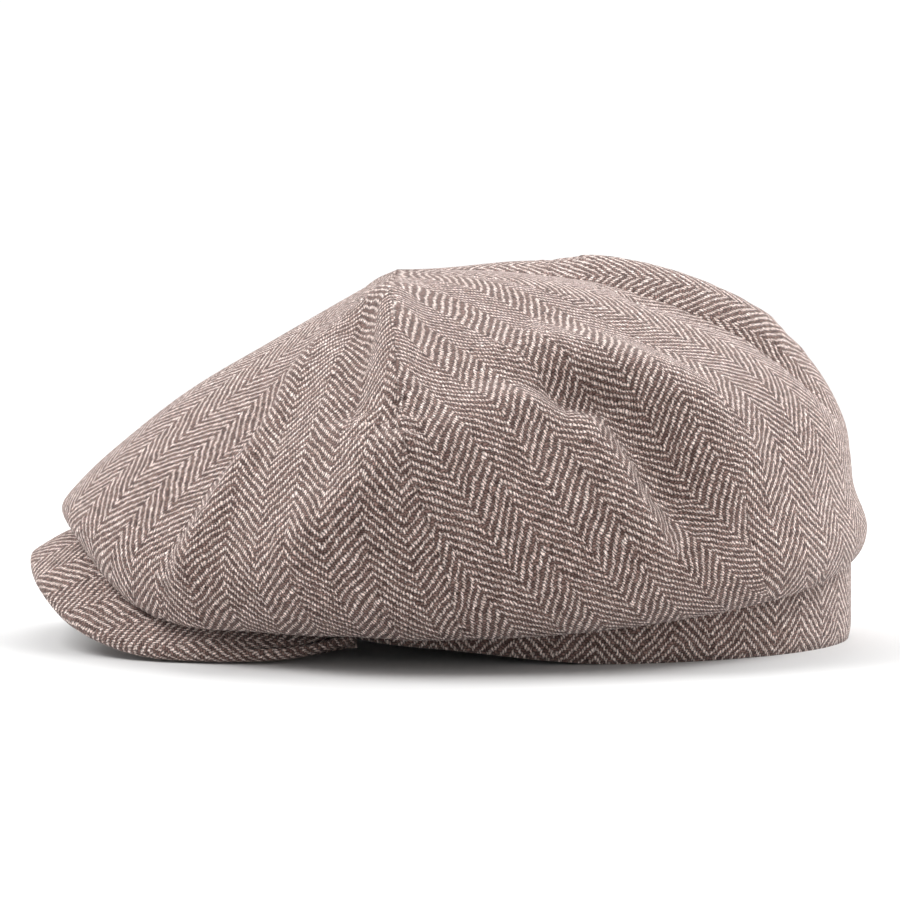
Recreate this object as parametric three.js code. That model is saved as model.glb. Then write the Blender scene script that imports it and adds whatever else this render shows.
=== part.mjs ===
// Eight-panel newsboy cap: crown of eight gores, side band, stiffened visor, lining and sweatband.
// Millimetres, +Z up. The visor points to -Y and the wearer's left is +X. The origin is on the
// table under the middle of the cap, which rests on the back of its band and on the visor's wings.
import * as THREE from 'three';

// ---- Driving dimensions ----
const HEAD_BAND = { halfWidth: 88, halfLength: 103, centreY: 27.9, height: 30 };
const GAP = 0.3;
const WOOL = 1.6;
const BAND_WOOL = 2.4;
const INTERLINING = 1.0;
const SWEATBAND = 1.2;
const SWEATBAND_HEIGHT = 29;
const LINING = 0.9;

// The visor lifts the front of the band off the table.
const FRONT_LIFT = 30;
const FRONT_LIFT_SPREAD = 36;
const SIDE_LIFT = 4;
const SIDE_LIFT_FROM = 70;
const SIDE_LIFT_TO = 105;

const VISOR_HALF_ANGLE = 53;
const VISOR_ROOT_CLEARANCE = 2.2;
const VISOR_BOARD = 2.0;
const VISOR_COVER = 1.2;
const VISOR_BOARD_INSET = 0.94;
const VISOR_DOME = 6.8;
const VISOR_EDGE_THICKNESS = 1.3;

// ---- Crown seams, from the band's top edge to the apex ----
// Each seam after its foot: underside, rim, shoulder, four heights up the crown, crest. The apex closes it.
const APEX = [0, -17, 119.5];
const SEAM_FRONT = [
  [0, -118, 37], [0, -126.5, 42], [0, -119, 52], [0, -103, 66], [0, -84, 80.5], [0, -58, 96], [0, -32, 111],
];
const SEAM_FRONT_SIDE = [
  [73, -90, 16.5], [83, -91, 29], [79, -86, 41], [70, -78, 56], [58, -67, 70], [42, -53, 87], [22, -34, 107],
];
const SEAM_SIDE = [
  [106, 7, 11], [120, 1, 33], [119, -5, 47], [110, -9.6, 66], [94, -13.5, 83], [64, -17.8, 102], [32, -18, 114],
];
const SEAM_REAR_SIDE = [
  [74, 103, 19.5], [90, 100, 34], [89, 95.5, 51], [80, 91, 71], [67, 84, 86], [45, 60, 102], [22, 25, 115],
];
const SEAM_REAR = [
  [0, 134, 29.6], [0, 136, 38], [0, 131.5, 56], [0, 123, 74], [0, 107, 91], [0, 70, 109], [0, 22, 118],
];
// The crown is slumped: its right side stands a little higher than its left.
const RIGHT_SIDE_RISE = [0, 0.5, 3, 5, 6, 5, 3];
const SEAM_COUNT = 8;

// How far each gore puffs out between its seams, from front left round the back to front right,
// and the rise at which it puffs most.
const GORE_PUFFS = [
  { height: 2, at: 4 },
  { height: 3, at: 3.5 },
  { height: 3, at: 3.5 },
  { height: 2.5, at: 3.5 },
  { height: 10, at: 5.8 },
  { height: 4, at: 4.5 },
  { height: 3, at: 4 },
  { height: 2, at: 4 },
];
const PUFF_SPREAD = 2;

const APEX_RING = 8;
const GORE_TIP = 7.87;
const GORE_COLUMNS = 6;

// ---- Colours ----
const wool = new THREE.MeshStandardMaterial({ color: 0xa39188, roughness: 0.95, metalness: 0 });
const satin = new THREE.MeshStandardMaterial({ color: 0x4a3d38, roughness: 0.5, metalness: 0 });
const twill = new THREE.MeshStandardMaterial({ color: 0x3a302c, roughness: 0.85, metalness: 0 });
const canvas = new THREE.MeshStandardMaterial({ color: 0xcfc6b8, roughness: 0.9, metalness: 0 });
const board = new THREE.MeshStandardMaterial({ color: 0xd9d6cf, roughness: 0.6, metalness: 0 });
const thread = new THREE.MeshStandardMaterial({ color: 0x6b574d, roughness: 0.8, metalness: 0 });

const group = new THREE.Group();
const radians = THREE.MathUtils.degToRad;
const lerp = THREE.MathUtils.lerp;

function addPiece(name, geometry, material) {
  const mesh = new THREE.Mesh(geometry, material);
  mesh.name = name;
  group.add(mesh);
}

// ---- Sheets: two matching grids of points joined into one closed body ----
function signedVolume(points, triangles) {
  let volume = 0;
  const cross = new THREE.Vector3();
  for (const [a, b, c] of triangles) {
    volume += points[a].dot(cross.crossVectors(points[b], points[c])) / 6;
  }
  return volume;
}

function closedBody(points, triangles) {
  const outward = signedVolume(points, triangles) > 0;
  const index = triangles.flatMap(([a, b, c]) => (outward ? [a, b, c] : [a, c, b]));
  const geometry = new THREE.BufferGeometry().setFromPoints(points);
  geometry.setIndex(index);
  geometry.computeVertexNormals();
  return geometry;
}

// faces[0] and faces[1] are grids of rows of points. With ringed set, each row closes on itself.
function sheet(faces, ringed = false) {
  const rows = faces[0].length;
  const columns = faces[0][0].length;
  const points = faces.flat(2);
  const at = (face, row, column) => (face * rows + row) * columns + (column % columns);
  const triangles = [];
  const quad = (a, b, c, d) => triangles.push([a, b, c], [a, c, d]);
  const spans = ringed ? columns : columns - 1;
  for (let row = 0; row < rows - 1; row += 1) {
    for (let column = 0; column < spans; column += 1) {
      quad(at(0, row, column), at(0, row, column + 1), at(0, row + 1, column + 1), at(0, row + 1, column));
      quad(at(1, row, column), at(1, row + 1, column), at(1, row + 1, column + 1), at(1, row, column + 1));
    }
  }
  for (let column = 0; column < spans; column += 1) {
    quad(at(0, 0, column), at(1, 0, column), at(1, 0, column + 1), at(0, 0, column + 1));
    quad(at(0, rows - 1, column), at(0, rows - 1, column + 1), at(1, rows - 1, column + 1), at(1, rows - 1, column));
  }
  if (!ringed) {
    for (let row = 0; row < rows - 1; row += 1) {
      quad(at(0, row, 0), at(0, row + 1, 0), at(1, row + 1, 0), at(1, row, 0));
      quad(at(0, row, spans), at(1, row, spans), at(1, row + 1, spans), at(0, row + 1, spans));
    }
  }
  return closedBody(points, triangles);
}

const steps = (from, to, count) => Array.from({ length: count + 1 }, (_, i) => lerp(from, to, i / count));

// ---- Band ----
// Angle 0 is the front centre and 90 the wearer's left.
function bandBottom(angle) {
  const fromFront = Math.abs(((angle + 180) % 360) - 180);
  const front = FRONT_LIFT * Math.exp(-((fromFront / FRONT_LIFT_SPREAD) ** 2));
  const side = SIDE_LIFT * (1 - THREE.MathUtils.smoothstep(fromFront, SIDE_LIFT_FROM, SIDE_LIFT_TO));
  return fromFront >= SIDE_LIFT_TO ? 0 : front + side;
}

// A point of the band's plan, moved outward by offset, at a height above the band's bottom edge.
function bandPoint(angle, offset, height) {
  const { halfWidth, halfLength, centreY } = HEAD_BAND;
  const x = Math.sin(radians(angle));
  const y = -Math.cos(radians(angle));
  const out = new THREE.Vector2(x / halfWidth, y / halfLength).normalize();
  return new THREE.Vector3(
    x * halfWidth + out.x * offset,
    centreY + y * halfLength + out.y * offset,
    bandBottom(angle) + height,
  );
}

function bandRing(outer, thickness, bottom, top, columns) {
  const angles = steps(0, 360, columns).slice(0, -1);
  const face = (offset) => [bottom, top].map((z) => angles.map((angle) => bandPoint(angle, offset, z)));
  return sheet([face(outer), face(outer - thickness)], true);
}

function addBand() {
  const columns = SEAM_COUNT * GORE_COLUMNS;
  addPiece('side_band', bandRing(0, BAND_WOOL, 0, HEAD_BAND.height, columns), wool);
  const inner = -BAND_WOOL - GAP;
  addPiece('band_interlining', bandRing(inner, INTERLINING, 3, HEAD_BAND.height - 3, columns), canvas);
  const sweat = inner - INTERLINING - GAP;
  addPiece('sweatband', bandRing(sweat, SWEATBAND, 1, SWEATBAND_HEIGHT, columns), twill);
  const tab = sweat - SWEATBAND - GAP;
  const tabAngles = steps(172, 188, 4);
  const tabFace = (offset) => [8, 22].map((z) => tabAngles.map((angle) => bandPoint(angle, offset, z)));
  addPiece('size_tab', sheet([tabFace(tab), tabFace(tab - 0.6)]), canvas);
}

// ---- Crown ----
const vector = (xyz) => new THREE.Vector3(...xyz);
const onRight = ([x, y, z], ring) => [-x, y, z + RIGHT_SIDE_RISE[ring]];

const seams = [
  SEAM_FRONT, SEAM_FRONT_SIDE, SEAM_SIDE, SEAM_REAR_SIDE, SEAM_REAR,
  SEAM_REAR_SIDE.map(onRight), SEAM_SIDE.map(onRight), SEAM_FRONT_SIDE.map(([x, y, z]) => [-x, y, z]),
].map((knots) => knots.map(vector));

const rings = SEAM_FRONT.map(
  (_, ring) => new THREE.CatmullRomCurve3(seams.map((seam) => seam[ring]), true, 'catmullrom', 0.5),
);

const crownFoot = (turn) => bandPoint((360 / SEAM_COUNT) * turn, GAP, HEAD_BAND.height + GAP);

// turn runs round the crown, one unit for each seam. rise is 0 at the band and 8 at the apex.
function smoothCrown(turn, rise) {
  const around = (((turn % SEAM_COUNT) + SEAM_COUNT) % SEAM_COUNT) / SEAM_COUNT;
  const knots = [crownFoot(turn), ...rings.map((ring) => ring.getPoint(around)), vector(APEX)];
  const profile = new THREE.CatmullRomCurve3(knots, false, 'centripetal');
  return profile.getPoint(THREE.MathUtils.clamp(rise / APEX_RING, 0, 1));
}

function surfaceNormal(surface, turn, rise) {
  const step = 0.02;
  const across = surface(turn + step, rise).sub(surface(turn - step, rise));
  const along = surface(turn, Math.min(rise + step, APEX_RING)).sub(surface(turn, Math.max(rise - step, 0)));
  return across.cross(along).normalize();
}

function puff(turn, rise) {
  const wrapped = ((turn % SEAM_COUNT) + SEAM_COUNT) % SEAM_COUNT;
  const gore = Math.floor(wrapped);
  const { height, at } = GORE_PUFFS[gore];
  const across = Math.sin(Math.PI * (wrapped - gore));
  const up = Math.exp(-(((rise - at) / PUFF_SPREAD) ** 2));
  const open = THREE.MathUtils.smoothstep(rise, 0, 1) * THREE.MathUtils.smoothstep(APEX_RING - rise, 0, 1);
  return height * across * up * open;
}

function crown(turn, rise) {
  return smoothCrown(turn, rise).addScaledVector(surfaceNormal(smoothCrown, turn, rise), puff(turn, rise));
}

// One gore's faces, its long edges kept half a gap inside its seams.
function goreFaces(surface, index, rises, columns, depths) {
  const faces = depths.map(() => []);
  for (const rise of rises) {
    const width = surface(index + 1, rise).distanceTo(surface(index, rise));
    const margin = (GAP * 0.7) / width;
    const turns = steps(index + margin, index + 1 - margin, columns);
    const row = turns.map((turn) => ({
      point: surface(turn, rise),
      normal: surfaceNormal(surface, turn, rise),
    }));
    depths.forEach((depth, face) => {
      faces[face].push(row.map(({ point, normal }) => point.clone().addScaledVector(normal, -depth)));
    });
  }
  return faces;
}

const GORE_NAMES = [
  'front_left', 'side_left', 'rear_side_left', 'rear_left', 'rear_right', 'rear_side_right', 'side_right', 'front_right',
];

function addCrown() {
  const rises = [0, 0.4, 0.75, 1, 1.25, 1.6, 2, 2.5, 3, 3.6, 4.2, 4.8, 5.4, 6, 6.6, 7.2, GORE_TIP];
  GORE_NAMES.forEach((name, index) => {
    addPiece(`crown_panel_${name}`, sheet(goreFaces(crown, index, rises, GORE_COLUMNS, [0, WOOL])), wool);
  });
}

// ---- Lining ----
// A looser dome: from the band straight up to the crown's sides, then close under the crown.
const LINING_UNDER = 4.5;
const LINING_TOP_RING = 5;

function liningKnots(turn) {
  const angle = (360 / SEAM_COUNT) * turn;
  const foot = bandPoint(angle, -BAND_WOOL - GAP - INTERLINING, HEAD_BAND.height + 2 * GAP);
  const under = [LINING_TOP_RING, LINING_TOP_RING + 1, LINING_TOP_RING + 2].map((rise) => (
    smoothCrown(turn, rise).addScaledVector(surfaceNormal(smoothCrown, turn, rise), -LINING_UNDER)
  ));
  const apex = vector(APEX).setZ(APEX[2] - LINING_UNDER);
  return [foot, foot.clone().lerp(under[0], 0.5), ...under, apex];
}

function lining(turn, rise) {
  const profile = new THREE.CatmullRomCurve3(liningKnots(turn), false, 'centripetal');
  return profile.getPoint(THREE.MathUtils.clamp(rise / APEX_RING, 0, 1));
}

function addLining() {
  const rises = [0, 1, 2, 3, 4, 5, 6, 7, 7.8];
  GORE_NAMES.forEach((name, index) => {
    addPiece(`lining_panel_${name}`, sheet(goreFaces(lining, index, rises, 4, [0, LINING])), satin);
  });
}

// ---- Visor ----
// The outer edge from the front centre round to the wing's end, where it runs into the band.
const VISOR_EDGE = [
  [0, -136, 24.6], [30, -132, 18.5], [56, -119, 8.5], [75, -98, 2.2], [84, -74, 1.4], [84, -50, 2.2], [77, -29, 6.6],
];

function visorEdge(side) {
  const half = VISOR_EDGE.map(vector);
  const mirrored = half.slice(1).reverse().map(({ x, y, z }) => new THREE.Vector3(-x, y, z));
  return new THREE.CatmullRomCurve3([...mirrored, ...half], false, 'centripetal').getPoint((side + 1) / 2);
}

// side runs from -1 at the right wing to 1 at the left, and reach from 0 at the band to 1 at the edge.
function visorMiddle(side, reach) {
  const root = bandPoint(side * VISOR_HALF_ANGLE, VISOR_ROOT_CLEARANCE, 0.5);
  const point = root.lerp(visorEdge(side), reach);
  const dome = VISOR_DOME * Math.sin(Math.PI * reach ** 1.4) * (1 - side * side);
  return point.setZ(point.z + dome);
}

function visorNormal(side, reach) {
  const step = 0.01;
  const clampSide = (value) => THREE.MathUtils.clamp(value, -1, 1);
  const clampReach = (value) => THREE.MathUtils.clamp(value, 0, 1);
  const across = visorMiddle(clampSide(side + step), reach).sub(visorMiddle(clampSide(side - step), reach));
  const out = visorMiddle(side, clampReach(reach + step)).sub(visorMiddle(side, clampReach(reach - step)));
  return out.cross(across).normalize();
}

function visorSheet(low, high, reaches, sides) {
  const face = (height) => reaches.map((reach) => sides.map((side) => (
    visorMiddle(side, reach).addScaledVector(visorNormal(side, reach), height(reach))
  )));
  return sheet([face(high), face(low)]);
}

function addVisor() {
  const boardHalf = VISOR_BOARD / 2;
  const coverIn = boardHalf + GAP;
  const coverOut = coverIn + VISOR_COVER;
  const sides = steps(-1, 1, 20);
  const reaches = [0, 0.2, 0.4, 0.6, 0.75, 0.87, VISOR_BOARD_INSET, 1];
  // Past the board the covers close on each other at the edge seam.
  const closing = (reach) => (reach > VISOR_BOARD_INSET ? 1 : 0);
  const inner = (reach) => lerp(coverIn, GAP / 2, closing(reach));
  const outer = (reach) => lerp(coverOut, VISOR_EDGE_THICKNESS, closing(reach));
  addPiece('visor_top_cover', visorSheet(inner, outer, reaches, sides), wool);
  addPiece('visor_under_cover', visorSheet((r) => -outer(r), (r) => -inner(r), reaches, sides), wool);
  const boardSheet = visorSheet(() => -boardHalf, () => boardHalf, reaches.slice(0, -1), sides.slice(1, -1));
  addPiece('visor_board', boardSheet, board);
}

// ---- Front tack ----
const TACK_RADIUS = 1.2;
const TACK_REACH = 0.42;

function addFrontTack() {
  const clear = 0.7;
  const visorTop = visorMiddle(0, TACK_REACH).z + VISOR_BOARD / 2 + GAP + VISOR_COVER + clear;
  const y = visorMiddle(0, TACK_REACH).y;
  const height = 3;
  const bar = new THREE.CylinderGeometry(TACK_RADIUS, TACK_RADIUS, height, 12).rotateX(Math.PI / 2);
  bar.translate(0, y, visorTop + height / 2);
  addPiece('front_tack', bar, thread);
}

addCrown();
addBand();
addVisor();
addLining();
addFrontTack();

// The origin is on the table, under the middle of the whole cap's box.
const box = new THREE.Box3().setFromObject(group);
const middle = box.getCenter(new THREE.Vector3());
group.position.set(-middle.x, -middle.y, -box.min.z);

export default group;
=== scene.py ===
"""Newsboy cap: eight crown gores, a side band, a stiffened visor, a lining and a sweatband.

The cap's sizes are in millimetres in its own frame, where the side band's middle is at (0, BAND_CENTRE_Y).
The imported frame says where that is, and every piece is moved there when its mesh is made. The camera, the
lights and the stage are in metres.
"""
import math

import bpy
import numpy as np
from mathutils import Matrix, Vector


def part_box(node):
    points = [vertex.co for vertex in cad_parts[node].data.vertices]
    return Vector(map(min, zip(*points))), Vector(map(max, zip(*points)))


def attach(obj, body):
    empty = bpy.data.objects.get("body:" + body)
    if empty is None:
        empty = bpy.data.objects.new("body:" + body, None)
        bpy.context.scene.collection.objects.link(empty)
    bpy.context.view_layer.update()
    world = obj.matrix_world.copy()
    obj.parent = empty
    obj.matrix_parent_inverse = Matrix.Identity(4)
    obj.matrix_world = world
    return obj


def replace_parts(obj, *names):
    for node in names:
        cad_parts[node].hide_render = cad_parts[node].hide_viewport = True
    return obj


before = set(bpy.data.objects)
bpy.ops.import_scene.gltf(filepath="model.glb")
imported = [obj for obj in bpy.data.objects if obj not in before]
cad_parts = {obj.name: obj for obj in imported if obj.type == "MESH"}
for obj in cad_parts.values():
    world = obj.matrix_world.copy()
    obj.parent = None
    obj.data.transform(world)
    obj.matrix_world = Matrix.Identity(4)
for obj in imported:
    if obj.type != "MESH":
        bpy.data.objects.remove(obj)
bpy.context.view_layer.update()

# ---- Sizes ----
MM = 0.001
# The least length and the least area that anything is divided by.
TINY = 1e-6
TINY_AREA = 1e-9
SEAMS = 8
BAND_HALF_WIDTH = 88
BAND_HALF_LENGTH = 103
BAND_CENTRE_Y = 27.9
BAND_HEIGHT = 30
BAND_WOOL = 2.4
INTERLINING = 1.0
SWEATBAND = 1.2
WOOL = 1.6
LINING = 0.9
GAP = 0.3

FRONT_LIFT = 30
FRONT_LIFT_SPREAD = 36
SIDE_LIFT = 4
SIDE_LIFT_FROM = 70
SIDE_LIFT_TO = 105

# Crown seams from the underside to the crest: lowest point, rim, shoulder, then up the crown.
APEX = (0, -17, 119.5)
SEAM_FRONT = [
    (0, -118, 37), (0, -126.5, 42), (0, -119, 52),
    (0, -103, 66), (0, -84, 80.5), (0, -58, 96), (0, -32, 111),
]
SEAM_FRONT_SIDE = [
    (74, -89.5, 12), (83, -88, 28), (79, -83, 40.5),
    (70, -74, 55.5), (59, -60, 72), (45, -48.5, 89.5), (24, -31, 109),
]
SEAM_SIDE = [
    (106, 5.5, 9.5), (120, -1, 32.5), (119, -6.8, 47),
    (110, -12, 66), (94, -15.3, 83), (64, -17, 102), (32, -18.3, 114),
]
SEAM_REAR_SIDE = [
    (76, 101, 18.8), (90, 96, 31.5), (89, 92, 45),
    (82, 88.8, 62), (71, 81.5, 82.5), (56, 60, 98.5), (31, 28, 115),
]
SEAM_REAR = [
    (0, 134, 29.6), (0, 136, 37), (0, 131, 50),
    (0, 128, 66), (0, 112, 86), (0, 72, 108.5), (0, 24, 118.3),
]
# How much higher the points of the right side and rear side seams are than the left ones.
RIGHT_SIDE_RISE = (0, 0.5, 3, 5, 7, 6, 2)
# A place on the crown is a turn, counted in seams, and a rise from 0 at the band to this at the apex.
APEX_RISE = 8

# Each gore's puff between its seams, from front left round the back: height, and the rise it peaks at.
GORE_PUFFS = [(2, 4), (3, 3.5), (3, 3.5), (3.5, 4.5), (10, 5), (4, 4.5), (3, 4), (2, 4)]
PUFF_SPREAD = 2
# How far each gore's cloth is turned from its middle line, in degrees.
GORE_GRAINS = (0, 0, 20, 0, 0, -20, 0, 0)

GORE_NAMES = [
    "front_left", "side_left", "rear_side_left", "rear_left",
    "rear_right", "rear_side_right", "side_right", "front_right",
]

VISOR_HALF_ANGLE = 56
VISOR_ROOT_CLEARANCE = 2.2
VISOR_HALF_THICKNESS = 2.5
VISOR_COVER = 1.2
VISOR_DOME = 6.8
VISOR_DOME_LEAN = 1.4
VISOR_ROOT_HEIGHT = 0.5
# The visor's outer edge, from the front centre to the end of its left wing.
VISOR_EDGE = [
    (0, -136, 24.6), (30, -132, 18.5), (56, -119, 8.5),
    (75, -98, 2.2), (84, -74, 1.4), (84, -50, 2.2), (77, -29, 6.6),
]

# What the frame adds to a point in the cap's own millimetres.
band_low, band_high = (np.array(corner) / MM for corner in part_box("side_band"))
TO_ROW = (band_low + band_high) / 2 - (0, BAND_CENTRE_Y, (band_low + band_high)[2] / 2)


# ---- Curves and surfaces ----
def smoothstep(value, low, high):
    t = np.clip((np.asarray(value, float) - low) / (high - low), 0, 1)
    return t * t * (3 - 2 * t)


def closed_spline(points, turns):
    """Catmull-Rom through points (count, ...), closed, at turns measured in points."""
    count = len(points)
    start = np.floor(turns).astype(int)
    u = (turns - start).reshape((-1,) + (1,) * (points.ndim - 1))
    a, b, c, d = (points[(start + step) % count] for step in (-1, 0, 1, 2))
    square = 2 * a - 5 * b + 4 * c - d
    cubic = 3 * b - a - 3 * c + d
    return 0.5 * (2 * b + (c - a) * u + square * u ** 2 + cubic * u ** 3)


def root_distance(start, end):
    distance = np.linalg.norm(end - start, axis=-1, keepdims=True)
    return np.sqrt(np.maximum(distance, TINY))


def open_spline(points, where):
    """Centripetal Catmull-Rom along the first axis of points (count, ..., 3), at where in 0 to count - 1."""
    points = np.asarray(points, float)
    where = np.asarray(where, float)
    padded = np.concatenate([2 * points[:1] - points[1:2], points, 2 * points[-1:] - points[-2:-1]])
    start = np.clip(where.astype(int), 0, len(points) - 2)
    u = (where - start).reshape((-1,) + (1,) * (points.ndim - 1))
    a, b, c, d = (padded[start + step] for step in range(4))
    before, between, after = (root_distance(*pair) for pair in ((a, b), (b, c), (c, d)))
    leave = ((b - a) / before - (c - a) / (before + between) + (c - b) / between) * between
    arrive = ((c - b) / between - (d - b) / (between + after) + (d - c) / after) * between
    cubic = 2 * b - 2 * c + leave + arrive
    square = 3 * c - 3 * b - 2 * leave - arrive
    return b + leave * u + square * u ** 2 + cubic * u ** 3


def band_bottom(angle):
    """The height of the band's lower edge, which rises over the visor."""
    from_front = np.abs((angle + 180) % 360 - 180)
    front = FRONT_LIFT * np.exp(-((from_front / FRONT_LIFT_SPREAD) ** 2))
    side = SIDE_LIFT * (1 - smoothstep(from_front, SIDE_LIFT_FROM, SIDE_LIFT_TO))
    return np.where(from_front >= SIDE_LIFT_TO, 0, front + side)


def band_point(angle, offset, height):
    """A point on the band's plan. Angle 0 is the front centre and 90 the wearer's left."""
    angle, offset, height = np.broadcast_arrays(np.asarray(angle, float), offset, height)
    x, y = np.sin(np.radians(angle)), -np.cos(np.radians(angle))
    out = np.stack([x / BAND_HALF_WIDTH, y / BAND_HALF_LENGTH], -1)
    out /= np.linalg.norm(out, axis=-1, keepdims=True)
    return np.stack([
        x * BAND_HALF_WIDTH + out[..., 0] * offset,
        BAND_CENTRE_Y + y * BAND_HALF_LENGTH + out[..., 1] * offset,
        band_bottom(angle) + height,
    ], -1)


def on_right(seam, rise=(0,) * 7):
    """The mirror image of a left seam, each point raised."""
    return [(-x, y, z + up) for (x, y, z), up in zip(seam, rise)]


crown_seams = np.array([
    SEAM_FRONT, SEAM_FRONT_SIDE, SEAM_SIDE, SEAM_REAR_SIDE, SEAM_REAR,
    on_right(SEAM_REAR_SIDE, RIGHT_SIDE_RISE),
    on_right(SEAM_SIDE, RIGHT_SIDE_RISE),
    on_right(SEAM_FRONT_SIDE),
], float)


def smooth_crown(turns, rises):
    """The crown without folds, as a (rise, turn) grid."""
    turns = np.asarray(turns, float)
    foot = band_point(turns * 360 / SEAMS, GAP, BAND_HEIGHT + GAP)
    knots = closed_spline(crown_seams, turns % SEAMS)
    apex = np.broadcast_to(APEX, foot.shape)
    columns = np.concatenate([foot[:, None], knots, apex[:, None]], 1)
    return open_spline(columns.transpose(1, 0, 2), rises)


def grid_normals(grid, ringed):
    """Unit normals of a (row, column, 3) grid, outward if its columns run round and its rows run up."""
    if ringed:
        across = np.roll(grid, -1, 1) - np.roll(grid, 1, 1)
    else:
        across = np.gradient(grid, axis=1)
    up = np.gradient(grid, axis=0)
    normal = np.cross(across, up)
    return normal / np.maximum(np.linalg.norm(normal, axis=-1, keepdims=True), TINY_AREA)


def soften(grid, passes):
    """Evens out a ringed grid's small bends, keeping its first and last rows."""
    for _ in range(passes):
        inner = (grid[:-2] + grid[2:] + np.roll(grid, 1, 1)[1:-1] + np.roll(grid, -1, 1)[1:-1]) / 4
        grid = np.concatenate([grid[:1], 0.5 * grid[1:-1] + 0.5 * inner, grid[-1:]])
    return grid


# ---- The crown as one fine grid ----
GORE_CELLS = 44
CROWN_ROWS = 132
CROWN_SOFTENING = 10
# The share of the rows that lies below each rise, so that they are about evenly spaced.
RISE_SHARES = (0, 0.13, 0.2, 0.27, 0.38, 0.52, 0.68, 0.86, 1)
crown_turns = np.arange(SEAMS * GORE_CELLS) / GORE_CELLS
even_rises = np.interp(np.linspace(0, 1, CROWN_ROWS), RISE_SHARES, np.arange(APEX_RISE + 1))
crown_grid = soften(smooth_crown(crown_turns, even_rises), CROWN_SOFTENING)


def puffs(turns, rises):
    """How far each gore's cloth stands out between its seams."""
    gore = np.floor(turns).astype(int) % SEAMS
    height, peak = np.array(GORE_PUFFS, float)[gore].T
    across = np.sin(np.pi * (turns - np.floor(turns)))
    up = np.exp(-(((rises[:, None] - peak) / PUFF_SPREAD) ** 2))
    ends = smoothstep(rises, 0, 1) * smoothstep(APEX_RISE - rises, 0, 1)
    return height * across * up * ends[:, None]


puff_heights = puffs(crown_turns, even_rises)
crown_grid = crown_grid + grid_normals(crown_grid, ringed=True) * puff_heights[..., None]

# Folds in the crown: a path of (turn, rise) points, a height (a hollow is below 0) and a half-width.
FOLD_STEPS = 14
FOLD_FADE = 0.25
FOLDS = [
    ([(2.30, 6.0), (2.48, 5.75), (2.64, 5.65), (2.82, 5.25), (2.94, 4.6), (2.98, 3.8), (2.98, 2.7)], 6, 14),
    ([(2.36, 4.9), (2.47, 4.9), (2.59, 4.95), (2.66, 4.6), (2.71, 4.0), (2.76, 3.2), (2.80, 2.1)], -8, 9.5),
    ([(2.14, 4.8), (2.32, 4.8), (2.48, 4.7), (2.56, 4.3), (2.59, 3.6), (2.64, 2.6), (2.70, 1.6)], 4, 8),
    ([(1.92, 4.6), (2.08, 4.4), (2.24, 4.4), (2.42, 4.4)], 3, 14),
    ([(2.02, 7.4), (2.00, 6.4), (1.99, 5.4), (2.00, 4.3)], 5, 7),
    ([(1.55, 7.0), (1.73, 6.1), (1.74, 5.3), (1.79, 4.5)], -4, 6),
    ([(1.06, 7.2), (1.20, 5.7), (1.19, 4.2), (1.10, 2.5), (1.05, 1.4)], 4.5, 6.5),
    ([(1.98, 4.8), (1.86, 3.7), (1.68, 3.0), (1.30, 1.8)], 7, 11.5),
    ([(3.75, 6.6), (3.80, 6.0), (3.84, 5.1), (3.92, 4.2)], -4, 10),
    ([(4.36, 7.0), (4.32, 6.3), (4.24, 5.6), (4.18, 4.9)], 4, 12),
    ([(1.10, 1.3), (1.50, 1.1), (1.90, 1.3)], -2, 9),
]


def add_fold(grid, path, height, width):
    """Moves the grid in or out along a path, fading towards the path's two ends."""
    spots = np.array(path, float)
    where = np.linspace(0, len(spots) - 1, FOLD_STEPS * len(spots))
    line = open_spline(np.column_stack([spots, np.zeros(len(spots))]), where)[:, :2]
    row = np.interp(line[:, 1], even_rises, np.arange(CROWN_ROWS))
    column = line[:, 0] * GORE_CELLS
    centre = grid[np.rint(row).astype(int), np.rint(column).astype(int) % grid.shape[1]]
    away = np.linalg.norm(grid[:, :, None] - centre, axis=-1)
    nearest = away.argmin(-1)
    along = nearest / (len(centre) - 1)
    fade = smoothstep(along, 0, FOLD_FADE) * smoothstep(1 - along, 0, FOLD_FADE)
    rise = height * fade * np.exp(-((away.min(-1) / width) ** 2))
    return grid + grid_normals(grid, ringed=True) * rise[..., None]


for fold in FOLDS:
    crown_grid = add_fold(crown_grid, *fold)
crown_normals = grid_normals(crown_grid, ringed=True)
# The gores stop just short of the apex, so that each ends in a narrow edge and not in a point.
APEX_OPENING = 0.1
crown_grid[-1] = (1 - APEX_OPENING) * crown_grid[-1] + APEX_OPENING * crown_grid[-2]
crown_normals[-1] = crown_normals[-2]


# ---- Meshes ----
# One unit of a cloth's UV map is this many millimetres.
UV_UNIT = 100


def grid_quads(rows, columns, first=0):
    """Four-cornered faces over a grid of points, numbered from first."""
    corner = first + np.arange(rows - 1)[:, None] * columns + np.arange(columns - 1)
    return np.stack([corner, corner + 1, corner + columns + 1, corner + columns], -1).reshape(-1, 4)


def make_mesh(name, points, faces, uv, material):
    """A piece on the cap's one body. points are the cap's millimetres, and uv is millimetres of cloth."""
    mesh = bpy.data.meshes.new(name)
    mesh.from_pydata(((points + TO_ROW) * MM).tolist(), [], faces)
    layer = mesh.uv_layers.new(name="cloth")
    corners = np.empty(len(mesh.loops), np.int32)
    mesh.loops.foreach_get("vertex_index", corners)
    layer.data.foreach_set("uv", (uv / UV_UNIT)[corners].astype(np.float32).ravel())
    mesh.polygons.foreach_set("use_smooth", np.ones(len(mesh.polygons), bool))
    mesh.materials.append(material)
    piece = bpy.data.objects.new(name, mesh)
    bpy.context.scene.collection.objects.link(piece)
    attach(piece, "root")
    return piece


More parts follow.
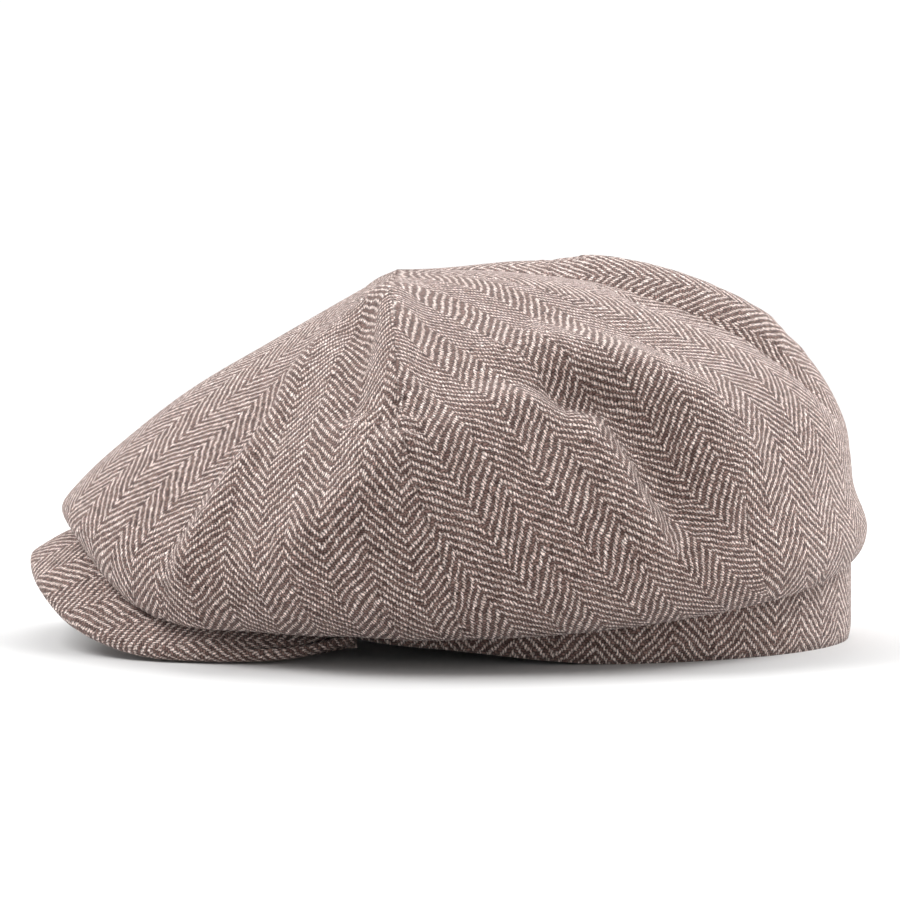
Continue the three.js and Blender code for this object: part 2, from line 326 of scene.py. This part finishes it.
def cloth_piece(name, outer, inner, uv, material):
    """A closed sheet between two (row, column, 3) grids. uv is in millimetres along the cloth."""
    rows, columns = outer.shape[:2]
    count = rows * columns
    points = np.concatenate([outer.reshape(-1, 3), inner.reshape(-1, 3)])
    index = np.arange(count).reshape(rows, columns)
    rim = np.concatenate([index[0, :-1], index[:-1, -1], index[-1, :0:-1], index[:0:-1, 0]])
    walls = np.stack([rim, rim + count, np.roll(rim, -1) + count, np.roll(rim, -1)], -1)
    quads = np.concatenate([grid_quads(rows, columns), grid_quads(rows, columns, count)[:, ::-1], walls])
    flat = np.concatenate([uv.reshape(-1, 2)] * 2)
    piece = make_mesh(name, points, quads.tolist(), flat, material)
    return piece


def cloth_lengths(grid):
    """(row, column, 2) distances over a grid, across from its middle column and along that column."""
    across = np.linalg.norm(np.diff(grid, axis=1), axis=-1)
    across = np.concatenate([np.zeros((len(grid), 1)), np.cumsum(across, 1)], 1)
    middle = grid.shape[1] // 2
    across -= across[:, middle:middle + 1]
    along = np.linalg.norm(np.diff(grid[:, middle], axis=0), axis=-1)
    along = np.concatenate([[0], np.cumsum(along)])
    return np.stack([across, np.broadcast_to(along[:, None], across.shape)], -1)


# How far a seam's edge rolls down, at most, as a length and as a share of the row's width.
EDGE_ROLL = 0.25
EDGE_ROLL_SHARE = 0.2
ROLL_STEPS = np.array([0.12, 0.3, 0.6, 1.0])


def rolled_edges(grid, normals):
    """Replaces each long edge by columns that turn the cloth down into its seam."""
    width = np.linalg.norm(np.diff(grid, axis=1), axis=-1).sum(1)
    radius = np.minimum(EDGE_ROLL, width * EDGE_ROLL_SHARE)[:, None, None]
    sides = []
    for edge, step in ((0, 1), (-1, -1)):
        towards = grid[:, edge + step] - grid[:, edge]
        towards = towards / np.maximum(np.linalg.norm(towards, axis=-1, keepdims=True), TINY)
        reach = ROLL_STEPS[None, :, None] * radius
        drop = radius - np.sqrt(np.maximum(radius ** 2 - (radius - reach) ** 2, 0))
        normal = normals[:, edge][:, None]
        sides.append((grid[:, edge][:, None] + towards[:, None] * reach - normal * drop, normal))
    repeats = (1, len(ROLL_STEPS), 1)
    (left, left_normal), (right, right_normal) = sides
    return (
        np.concatenate([left, grid[:, 1:-1], right[:, ::-1]], 1),
        np.concatenate([np.tile(left_normal, repeats), normals[:, 1:-1], np.tile(right_normal, repeats)], 1),
    )


FLATTEN_PASSES = 400
FLATTEN_PULL = 0.11


def flatten(grid, start=None):
    """Where each point of a (row, column, 3) grid lies on the flat cloth it was cut from, in millimetres.

    Each pass pulls the flat points a little towards the distances that they have on the grid.
    """
    flat = cloth_lengths(grid) if start is None else start
    links = []
    for down, right in ((1, 0), (0, 1), (1, 1), (1, -1)):
        rows = slice(0, grid.shape[0] - down)
        far_rows = slice(down, grid.shape[0])
        columns = slice(max(0, -right), grid.shape[1] - max(0, right))
        far_columns = slice(max(0, right), grid.shape[1] - max(0, -right))
        near, far = (rows, columns), (far_rows, far_columns)
        links.append((near, far, np.linalg.norm(grid[far] - grid[near], axis=-1)))
    for _ in range(FLATTEN_PASSES):
        pull = np.zeros_like(flat)
        for near, far, length in links:
            gap = flat[far] - flat[near]
            now = np.maximum(np.linalg.norm(gap, axis=-1), TINY)
            move = gap * ((now - length) / now)[..., None] * FLATTEN_PULL
            pull[near] += move
            pull[far] -= move
        flat = flat + pull
    return flat - flat[0, grid.shape[1] // 2]


# ---- Crown gores ----
def crown_gore(index, name, grain):
    """A gore's wool. grain is how far its cloth is turned from its middle line, in degrees."""
    columns = (np.arange(GORE_CELLS + 1) + index * GORE_CELLS) % (SEAMS * GORE_CELLS)
    outer, normals = rolled_edges(crown_grid[:, columns], crown_normals[:, columns])
    cos, sin = math.cos(math.radians(grain)), math.sin(math.radians(grain))
    flat = flatten(outer) @ [[cos, -sin], [sin, cos]]
    piece = cloth_piece(f"wool_gore_{name}", outer, outer - normals * WOOL, flat, wool)
    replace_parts(piece, f"crown_panel_{name}")


# ---- Band ----
BAND_ROWS = 14
BAND_COLUMNS = 241
# Half of the gap between a strip's ends at the back, in degrees.
BACK_SEAM = 0.05
# How far a strip's first and second rows lie inside its faces, as a share of its thickness.
END_SOFTNESS = 0.35
NEXT_SOFTNESS = 0.12
INTERLINING_MARGIN = 3
SWEATBAND_MARGIN = 1
TAB = 0.6
TAB_HEIGHTS = (8, 22)
TAB_ANGLES = (172, 188)
TAB_COLUMNS = 25


def band_strip(name, node, outer, thickness, heights, material, slot, angles):
    """A strip round the band with soft long edges. outer is how far its face lies from the plan."""
    grid = np.stack([band_point(angles, outer, height) for height in np.linspace(*heights, BAND_ROWS)])
    normals = grid_normals(grid, ringed=False)
    edges = np.zeros((BAND_ROWS, 1, 1))
    edges[[0, -1]] = END_SOFTNESS
    edges[[1, -2]] = NEXT_SOFTNESS
    front = grid - normals * edges * thickness
    back = grid - normals * (1 - edges) * thickness
    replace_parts(cloth_piece(name, front, back, cloth_lengths(grid), material), node)


def band_pieces():
    """The strips of the band from the outside in: wool, interlining, sweatband and the tab on it."""
    ring = np.linspace(180 + BACK_SEAM, 540 - BACK_SEAM, BAND_COLUMNS)
    tab_angles = np.linspace(*TAB_ANGLES, TAB_COLUMNS)
    interlining = -BAND_WOOL - GAP
    sweatband = interlining - INTERLINING - GAP
    tab = sweatband - SWEATBAND - GAP
    interlining_heights = (INTERLINING_MARGIN, BAND_HEIGHT - INTERLINING_MARGIN)
    sweatband_heights = (SWEATBAND_MARGIN, BAND_HEIGHT - SWEATBAND_MARGIN)
    for strip in (
        ("wool_side_band", "side_band", 0, BAND_WOOL, (0, BAND_HEIGHT), wool, "wool", ring),
        ("canvas_interlining", "band_interlining", interlining, INTERLINING, interlining_heights,
         canvas, "canvas", ring),
        ("twill_sweatband", "sweatband", sweatband, SWEATBAND, sweatband_heights, twill, "twill", ring),
        ("woven_tab", "size_tab", tab, TAB, TAB_HEIGHTS, canvas, "canvas", tab_angles),
    ):
        band_strip(*strip)


# ---- Visor ----
VISOR_COLUMNS = 121
VISOR_ROWS = 31
# Each cover: its name, the board's side it lies on, and the angles it bends through round the board's edge.
VISOR_COVERS = [("top", 1, np.linspace(0, 172, 13)), ("under", -1, np.linspace(0, 4, 2))]


def visor_middle(sides, reaches):
    """The visor's middle surface as a (reach, side) grid: side -1 to 1 across, reach 0 at the band to 1."""
    half = np.array(VISOR_EDGE, float)
    knots = np.concatenate([half[:0:-1] * (-1, 1, 1), half])
    edge = open_spline(knots, (sides + 1) / 2 * (len(knots) - 1))
    root = band_point(sides * VISOR_HALF_ANGLE, VISOR_ROOT_CLEARANCE, VISOR_ROOT_HEIGHT)
    t = reaches[:, None, None]
    grid = root * (1 - t) + edge * t
    grid[..., 2] += VISOR_DOME * np.sin(np.pi * reaches[:, None] ** VISOR_DOME_LEAN) * (1 - sides ** 2)
    return grid


def visor_covers():
    """The top cover wraps round the board's edge and meets the under cover just inside it."""
    middle = visor_middle(np.linspace(-1, 1, VISOR_COLUMNS), np.linspace(0, 1, VISOR_ROWS))
    normals = -grid_normals(middle, ringed=False)
    out = middle[-1] - middle[-2]
    out /= np.linalg.norm(out, axis=-1, keepdims=True)
    centre = middle[-1] - out * VISOR_HALF_THICKNESS
    tail = normals[-2]

    def layer(depth, sign, bend):
        """The surface at a depth from the board's middle: over its face, and then round its edge."""
        angles = np.radians(bend)[:, None, None]
        face = middle[:-2] + sign * normals[:-2] * depth
        turn = centre + depth * (sign * tail * np.cos(angles) + out * np.sin(angles))
        return np.concatenate([face, turn])

    for name, sign, bend in VISOR_COVERS:
        outer = layer(VISOR_HALF_THICKNESS, sign, bend)[:, ::-sign]
        inner = layer(VISOR_HALF_THICKNESS - VISOR_COVER, sign, bend)[:, ::-sign]
        body = len(middle) - 2
        flat = flatten(outer[:body], outer[:body, :, :2] * (sign, 1))
        ahead = flat[-1] - flat[-2]
        ahead /= np.linalg.norm(ahead, axis=-1, keepdims=True)
        wrapped = np.cumsum(np.linalg.norm(np.diff(outer[body - 1:], axis=0), axis=-1), 0)
        flat = np.concatenate([flat, flat[-1] + ahead * wrapped[..., None]])
        piece = cloth_piece(f"visor_{name}_wool", outer, inner, flat, wool)
        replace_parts(piece, f"visor_{name}_cover")


# ---- Lining ----
LINING_UNDER = 4.5
LINING_FROM_RISE = 4.6
LINING_DROP_ROWS = 24
LINING_SOFTENING = 6
# The lining's grid takes every second row and column of the crown's.
LINING_STRIDE = 2
LINING_CELLS = GORE_CELLS // LINING_STRIDE


def lining_grid():
    """The lining lies under the folded crown's top and drops straight from there to the band's upper edge."""
    turns = crown_turns[::LINING_STRIDE]
    rows = np.flatnonzero(even_rises > LINING_FROM_RISE)[::LINING_STRIDE]
    under = (crown_grid - crown_normals * LINING_UNDER)[rows][:, ::LINING_STRIDE]
    foot = band_point(turns * 360 / SEAMS, -BAND_WOOL - GAP - INTERLINING, BAND_HEIGHT + 2 * GAP)
    share = np.linspace(0, 1, LINING_DROP_ROWS, endpoint=False)[:, None, None]
    straight = foot * (1 - share) + under[0] * share
    return soften(np.concatenate([straight, under[:-1]]), LINING_SOFTENING)


def lining_pieces():
    grid = lining_grid()
    normals = grid_normals(grid, ringed=True)
    for index, name in enumerate(GORE_NAMES):
        columns = (np.arange(LINING_CELLS + 1) + index * LINING_CELLS) % grid.shape[1]
        outer, outer_normals = rolled_edges(grid[:, columns], normals[:, columns])
        flat = cloth_lengths(outer)
        piece = cloth_piece(f"satin_gore_{name}", outer, outer - outer_normals * LINING, flat, satin)
        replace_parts(piece, f"lining_panel_{name}")


# ---- Materials ----
def plain_material(name, colour, roughness):
    material = bpy.data.materials.new(name)
    material.use_nodes = True
    shader = material.node_tree.nodes["Principled BSDF"]
    shader.inputs["Base Color"].default_value = (*colour, 1)
    shader.inputs["Roughness"].default_value = roughness
    return material


class Nodes:
    """Short calls that add nodes to one material."""

    def __init__(self, material):
        self.tree = material.node_tree

    def add(self, kind, settings=None, **inputs):
        node = self.tree.nodes.new(kind)
        for key, value in (settings or {}).items():
            setattr(node, key, value)
        for key, value in inputs.items():
            self.set_input(node.inputs[key], value)
        return node

    def set_input(self, socket, value):
        if isinstance(value, bpy.types.NodeSocket):
            self.tree.links.new(value, socket)
        else:
            socket.default_value = value

    def math(self, operation, *values):
        node = self.tree.nodes.new("ShaderNodeMath")
        node.operation = operation
        for socket, value in zip(node.inputs, values):
            self.set_input(socket, value)
        return node.outputs[0]

    def mix_colour(self, factor, first, second):
        node = self.tree.nodes.new("ShaderNodeMix")
        node.data_type = "RGBA"
        self.set_input(node.inputs["Factor"], factor)
        self.set_input(node.inputs["A"], first)
        self.set_input(node.inputs["B"], second)
        return node.outputs["Result"]

    def vector(self, operation, first, second):
        node = self.tree.nodes.new("ShaderNodeVectorMath")
        node.operation = operation
        self.set_input(node.inputs[0], first)
        self.set_input(node.inputs[1], second)
        return node.outputs[0]

    def scaled(self, vector, factor):
        node = self.tree.nodes.new("ShaderNodeVectorMath")
        node.operation = "SCALE"
        self.set_input(node.inputs[0], vector)
        self.set_input(node.inputs["Scale"], factor)
        return node.outputs[0]

    def noise(self, place, scale, detail):
        return self.add("ShaderNodeTexNoise", Vector=place, Scale=scale, Detail=detail)

    def bump(self, height, distance, strength):
        return self.add("ShaderNodeBump", Height=height, Distance=distance, Strength=strength).outputs[0]

    def cloth_place(self):
        return self.add("ShaderNodeUVMap", {"uv_map": "cloth"}).outputs[0]


# ---- Herringbone wool ----
YARN = 0.8
COLUMN_YARNS = 16
# Added to both yarn counts, so that every yarn's number is above 0.
YARN_OFFSET = 800
# The twill repeats after four yarns: the warp is on top for two of them, and the weft for the other two.
FLOAT_YARNS = 2
REPEAT_YARNS = 2 * FLOAT_YARNS
WEFT_HEIGHT = 0.8
FLOAT_ROUNDING = 0.7
# How the yarns wander: the scale of a noise, and how far it moves them.
WANDERS = [(9, 0.026), (70, 0.017)]

LIGHT_YARN_LOW = (0.55, 0.415, 0.365, 1)
LIGHT_YARN_HIGH = (0.90, 0.755, 0.70, 1)
DARK_YARN_LOW = (0.14, 0.078, 0.067, 1)
DARK_YARN_HIGH = (0.36, 0.225, 0.193, 1)

# A yarn's place from low to high: what its own chance adds, and what the heather adds.
OWN_SHADE = 0.7
HEATHER_SCALE = 32
HEATHER_SHADE = 1.7
SHADE_OFFSET = -0.7
# Painted shade between yarns: how bright the colour is painted down in the gaps, and the painted light that a
# yarn's height adds.
GAP_PAINTED_SHADE = 0.24
HEIGHT_PAINTED_LIGHT = 1.1
HEIGHT_POWER = 1.4
# What the clumps of wool and the single fibres add to the brightness.
GRAIN_SCALE = 170
GRAIN_BRIGHTNESS = 2.1
FIBRE_SCALE = 420
FIBRE_BRIGHTNESS = 0.8
BRIGHTNESS_OFFSET = -0.45
FIBRE_RELIEF = 0.6


def wandering(nodes, place):
    """Moves the cloth's coordinates about, so its yarns don't run dead straight."""
    for scale, reach in WANDERS:
        noise = nodes.noise(place, scale, 2).outputs["Color"]
        centred = nodes.vector("SUBTRACT", noise, (0.5, 0.5, 0.5))
        place = nodes.vector("ADD", place, nodes.scaled(centred, reach))
    return place


def float_height(nodes, along, across):
    """The height of one float of yarn, rounded along it and across it. Both run from 0 to 1."""
    lengthwise = nodes.math("MAXIMUM", nodes.math("SINE", nodes.math("MULTIPLY", along, math.pi)), 0)
    crosswise = nodes.math("SINE", nodes.math("MULTIPLY", across, math.pi))
    return nodes.math("MULTIPLY", nodes.math("POWER", lengthwise, FLOAT_ROUNDING), crosswise)


def twill_weave(nodes, place):
    """The weave's height, whether the warp is on top, and a vector that names the float of yarn on top."""
    calc = nodes.math
    parts = nodes.add("ShaderNodeSeparateXYZ", Vector=place)
    x, y = (calc("MULTIPLY_ADD", part, UV_UNIT / YARN, YARN_OFFSET) for part in parts.outputs[:2])
    warp_index, weft_index = calc("FLOOR", x), calc("FLOOR", y)
    warp_part, weft_part = calc("FRACT", x), calc("FRACT", y)

    column = calc("FLOOR", calc("DIVIDE", calc("ADD", x, COLUMN_YARNS / 2), COLUMN_YARNS))
    turned = calc("MODULO", column, 2)
    sense = calc("MULTIPLY_ADD", turned, -2, 1)
    step = calc("ADD", calc("MULTIPLY", warp_index, sense), calc("MULTIPLY", turned, FLOAT_YARNS))
    order = calc("ADD", weft_index, step)
    phase = calc("FLOORED_MODULO", order, REPEAT_YARNS)
    warp_up = calc("LESS_THAN", phase, FLOAT_YARNS - 0.5)
    weft_up = calc("SUBTRACT", 1, warp_up)

    # The phase grows along a warp yarn. Along a weft yarn it grows too, or falls where the twill is turned.
    warp_along = calc("DIVIDE", calc("ADD", phase, weft_part), FLOAT_YARNS)
    from_middle = calc("MULTIPLY", calc("SUBTRACT", phase, FLOAT_YARNS + 0.5), sense)
    weft_start = calc("ADD", from_middle, 0.5)
    weft_along = calc("DIVIDE", calc("ADD", weft_start, warp_part), FLOAT_YARNS)
    warp_height = calc("MULTIPLY", warp_up, float_height(nodes, warp_along, warp_part))
    weft_height = calc("MULTIPLY", weft_up, float_height(nodes, weft_along, weft_part))
    height = calc("ADD", warp_height, calc("MULTIPLY", weft_height, WEFT_HEIGHT))

    crossing = calc("FLOOR", calc("DIVIDE", order, REPEAT_YARNS))
    yarn_index = calc("ADD", calc("MULTIPLY", warp_index, warp_up), calc("MULTIPLY", weft_index, weft_up))
    float_name = nodes.add("ShaderNodeCombineXYZ", X=yarn_index, Y=crossing, Z=warp_up).outputs[0]
    return height, warp_up, float_name


def yarn_colour(nodes, place, warp_up, float_name):
    """Light warp and dark weft. Each float has its own shade, and a heather runs over all of them."""
    calc = nodes.math
    own = nodes.add("ShaderNodeTexWhiteNoise", {"noise_dimensions": "3D"}, Vector=float_name).outputs["Value"]
    heather = nodes.noise(place, HEATHER_SCALE, 4).outputs["Fac"]
    shared = calc("MULTIPLY_ADD", heather, HEATHER_SHADE, SHADE_OFFSET)
    shade = calc("ADD", calc("MULTIPLY", own, OWN_SHADE), shared)
    light = nodes.mix_colour(shade, LIGHT_YARN_LOW, LIGHT_YARN_HIGH)
    dark = nodes.mix_colour(shade, DARK_YARN_LOW, DARK_YARN_HIGH)
    return nodes.mix_colour(warp_up, dark, light)


def herringbone(name):
    """Wool woven as a two-and-two twill that turns back every COLUMN_YARNS."""
    material = plain_material(name, (0.5, 0.5, 0.5), 0.9)
    shader = material.node_tree.nodes["Principled BSDF"]
    shader.inputs["Sheen Weight"].default_value = 0.15
    shader.inputs["Sheen Roughness"].default_value = 0.5
    shader.inputs["Specular IOR Level"].default_value = 0.2
    nodes = Nodes(material)
    calc = nodes.math
    place = nodes.cloth_place()
    height, warp_up, float_name = twill_weave(nodes, wandering(nodes, place))
    colour = yarn_colour(nodes, place, warp_up, float_name)

    grain = nodes.noise(place, GRAIN_SCALE, 2).outputs["Fac"]
    fibres = nodes.noise(place, FIBRE_SCALE, 2).outputs["Fac"]
    # Painted shade: the yarn colour is darkened down in the gaps between yarns and lightened on the floats'
    # tops.
    painted_yarn_shade = calc("MULTIPLY_ADD", calc("POWER", height, HEIGHT_POWER), HEIGHT_PAINTED_LIGHT, GAP_PAINTED_SHADE)
    single = calc("MULTIPLY_ADD", fibres, FIBRE_BRIGHTNESS, BRIGHTNESS_OFFSET)
    fibre_light = calc("ADD", calc("MULTIPLY", grain, GRAIN_BRIGHTNESS), single)
    lit = nodes.scaled(colour, calc("MULTIPLY", painted_yarn_shade, fibre_light))
    nodes.set_input(shader.inputs["Base Color"], lit)

    relief = calc("ADD", height, calc("MULTIPLY", fibres, FIBRE_RELIEF))
    nodes.set_input(shader.inputs["Normal"], nodes.bump(relief, distance=0.25 * MM, strength=0.8))
    return material


# ---- Other materials ----
FINE_SHEEN = 0.1
MOTTLE_SCALE = 60
MOTTLE_OFFSET = -0.3
# How much darker the colour is painted between the ribs, as painted shade.
RIB_PAINTED_SHADE = 0.6
FLECK_SCALE = 900


def fine_weave(name, dark, light, roughness, ribs):
    """Cloth with a small even weave, painted darker between its ribs as shade. Each rib is (across, along)
    counts per millimetre of cloth.
    """
    material = plain_material(name, light, roughness)
    shader = material.node_tree.nodes["Principled BSDF"]
    shader.inputs["Sheen Weight"].default_value = FINE_SHEEN
    nodes = Nodes(material)
    place = nodes.cloth_place()
    parts = nodes.add("ShaderNodeSeparateXYZ", Vector=place)
    height = 1.0
    for across, along in ribs:
        along_run = nodes.math("MULTIPLY", parts.outputs[1], UV_UNIT * along * math.pi)
        run = nodes.math("MULTIPLY_ADD", parts.outputs[0], UV_UNIT * across * math.pi, along_run)
        height = nodes.math("MULTIPLY", height, nodes.math("ABSOLUTE", nodes.math("SINE", run)))
    mottle = nodes.noise(place, MOTTLE_SCALE, 3).outputs["Fac"]
    # Painted shade: the colour is darker between the ribs and lighter on their tops; the mottle is the
    # cloth's own uneven tone.
    shade = nodes.math("MULTIPLY_ADD", height, RIB_PAINTED_SHADE, nodes.math("ADD", mottle, MOTTLE_OFFSET))
    nodes.set_input(shader.inputs["Base Color"], nodes.mix_colour(shade, (*dark, 1), (*light, 1)))
    nodes.set_input(shader.inputs["Normal"], nodes.bump(height, distance=0.15 * MM, strength=0.7))
    return material


def pressed_board(name):
    """Stiff pressed board with small flecks."""
    material = plain_material(name, (0.6, 0.57, 0.52), 0.6)
    shader = material.node_tree.nodes["Principled BSDF"]
    nodes = Nodes(material)
    place = nodes.add("ShaderNodeTexCoord").outputs["Object"]
    flecks = nodes.noise(place, FLECK_SCALE, 4).outputs["Fac"]
    colour = nodes.mix_colour(flecks, (0.45, 0.42, 0.37, 1), (0.72, 0.69, 0.64, 1))
    nodes.set_input(shader.inputs["Base Color"], colour)
    nodes.set_input(shader.inputs["Normal"], nodes.bump(flecks, distance=0.1 * MM, strength=0.5))
    return material


# ---- Front tack ----
TACK_WRAPS = 6
TACK_COLUMNS = 24
TACK_ROWS = 73
# The groove between two wraps, and the tack's ends, as shares of its radius.
TACK_GROOVE = 0.18
TACK_END = 0.6


def front_tack():
    """A shank of wound thread that holds the crown down on the visor."""
    low, high = (np.array(corner) / MM - TO_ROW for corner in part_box("front_tack"))
    centre, radius = (low + high) / 2, (high - low)[0] / 2
    share = np.linspace(0, 1, TACK_ROWS)
    wraps = np.abs(np.sin(np.pi * TACK_WRAPS * share))
    angles = np.linspace(0, 2 * np.pi, TACK_COLUMNS, endpoint=False)
    reach = radius * (1 - TACK_GROOVE * (1 - wraps)) * np.where((share == 0) | (share == 1), TACK_END, 1)
    points = np.stack([
        centre[0] + reach[:, None] * np.cos(angles),
        centre[1] + reach[:, None] * np.sin(angles),
        np.broadcast_to((low[2] + (high - low)[2] * share)[:, None], (TACK_ROWS, TACK_COLUMNS)),
    ], -1).reshape(-1, 3)
    index = np.arange(TACK_ROWS * TACK_COLUMNS).reshape(TACK_ROWS, TACK_COLUMNS)
    after = np.roll(index, -1, 1)
    sides = np.stack([index[:-1], after[:-1], after[1:], index[1:]], -1).reshape(-1, 4).tolist()
    faces = sides + [index[0, ::-1].tolist(), index[-1].tolist()]
    turn = np.tile(angles * radius, TACK_ROWS)
    uv = np.stack([turn, points[:, 2]], -1)
    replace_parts(make_mesh("thread_tack", points, faces, uv, thread), "front_tack")


# ---- Building ----
wool = herringbone("wool_herringbone")
satin = fine_weave("satin", (0.055, 0.036, 0.030), (0.100, 0.068, 0.058), 0.35, [(2.5, 0)])
twill = fine_weave("twill", (0.030, 0.020, 0.017), (0.072, 0.050, 0.042), 0.75, [(0.8, 0.8)])
canvas = fine_weave("canvas", (0.42, 0.37, 0.30), (0.72, 0.67, 0.58), 0.8, [(1.2, 0), (0, 1.2)])
thread = fine_weave("thread", (0.10, 0.065, 0.055), (0.22, 0.15, 0.13), 0.6, [(2.0, 3.0)])

for gore, gore_name in enumerate(GORE_NAMES):
    crown_gore(gore, gore_name, GORE_GRAINS[gore])
band_pieces()
visor_covers()
lining_pieces()
front_tack()
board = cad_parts["visor_board"]
board.material_slots[0].material = pressed_board("pressed_board")


# ---- Camera ----
# Distances are in metres, the elevation in degrees and the lens in millimetres.
CAMERA_DISTANCE = 1.8
CAMERA_ELEVATION = 4.3
CAMERA_TARGET = (0, 0.0005, 0.0606)
CAMERA_LENS = 221
CAMERA_CLIP_END = 20


def add_camera():
    """A long lens at the cap's left side, a little above it."""
    data = bpy.data.cameras.new("camera")
    data.lens = CAMERA_LENS
    data.clip_end = CAMERA_CLIP_END
    camera = bpy.data.objects.new("camera", data)
    tilt = math.radians(CAMERA_ELEVATION)
    back = Vector((math.cos(tilt), 0, math.sin(tilt)))
    camera.location = Vector(CAMERA_TARGET) + back * CAMERA_DISTANCE
    camera.rotation_mode = "QUATERNION"
    camera.rotation_quaternion = (-back).to_track_quat("-Z", "Y")
    bpy.context.scene.collection.objects.link(camera)
    bpy.context.scene.camera = camera


# ---- Lights ----
LIGHT_AIM = (0, 0, 0.06)
# Each softbox: its name, place, width and height, all in metres, and its power in watts.
SOFTBOXES = [
    ("left_high_box", (0, -0.9, 1.1), (0.8, 0.8), 18.5),
    ("left_front_box", (0.2, -1.3, 0.4), (0.8, 0.8), 3),
    ("right_high_box", (0, 0.9, 1.1), (0.8, 0.8), 12.5),
    ("right_back_box", (-0.9, 1.0, 0.45), (0.8, 0.8), 18),
    ("back_box", (-0.8, 0, 1.2), (1.0, 1.2), 11),
    ("right_box", (0.6, 1.2, 0.45), (0.8, 0.8), 3.6),
    ("front_box", (1.6, 0, 0.3), (1.2, 0.5), 3),
]


def add_softbox(name, place, size, power):
    data = bpy.data.lights.new(name, "AREA")
    data.shape = "RECTANGLE"
    data.size, data.size_y = size
    data.energy = power
    light = bpy.data.objects.new(name, data)
    light.location = place
    light.rotation_mode = "QUATERNION"
    light.rotation_quaternion = (Vector(LIGHT_AIM) - Vector(place)).to_track_quat("-Z", "Y")
    bpy.context.scene.collection.objects.link(light)


# ---- Stage ----
FLOOR_RADIUS = 0.98
FLOOR_CORNERS = 96
CARD_X = -1.0
CARD_HALF_WIDTH = 2.0
CARD_HEIGHT = 2.5
CARD_GLOW = 1.2
AMBIENT = 0.15
WORLD_GLOW = 1.05


def stage_piece(name, corners, material):
    mesh = bpy.data.meshes.new(name)
    mesh.from_pydata(corners, [], [tuple(range(len(corners)))])
    mesh.materials.append(material)
    piece = bpy.data.objects.new(name, mesh)
    bpy.context.scene.collection.objects.link(piece)
    return piece


def add_stage():
    """A round paper floor, and a glowing card behind the cap that lights it and isn't seen itself."""
    turns = np.linspace(0, 2 * np.pi, FLOOR_CORNERS, endpoint=False)
    rim = [(FLOOR_RADIUS * math.cos(turn), FLOOR_RADIUS * math.sin(turn), 0) for turn in turns]
    stage_piece("floor", rim, plain_material("paper", (0.66, 0.66, 0.66), 0.9))
    glow = plain_material("card_glow", (0, 0, 0), 1)
    shader = glow.node_tree.nodes["Principled BSDF"]
    shader.inputs["Emission Color"].default_value = (1, 1, 1, 1)
    shader.inputs["Emission Strength"].default_value = CARD_GLOW
    corners = [(-1, 0), (1, 0), (1, 1), (-1, 1)]
    card = stage_piece("card", [(CARD_X, y * CARD_HALF_WIDTH, z * CARD_HEIGHT) for y, z in corners], glow)
    card.visible_camera = False


def add_world():
    """White to look at from every side, but only a dim even light on the cap."""
    world = bpy.data.worlds.new("studio")
    world.use_nodes = True
    tree = world.node_tree
    path = tree.nodes.new("ShaderNodeLightPath")
    strength = tree.nodes.new("ShaderNodeMapRange")
    strength.inputs["To Min"].default_value = AMBIENT
    strength.inputs["To Max"].default_value = WORLD_GLOW
    tree.links.new(path.outputs["Is Camera Ray"], strength.inputs["Value"])
    background = tree.nodes["Background"]
    background.inputs["Color"].default_value = (1, 1, 1, 1)
    tree.links.new(strength.outputs["Result"], background.inputs["Strength"])
    bpy.context.scene.world = world
    bpy.context.scene.view_settings.view_transform = "Standard"


add_stage()
add_world()
for softbox in SOFTBOXES:
    add_softbox(*softbox)
add_camera()
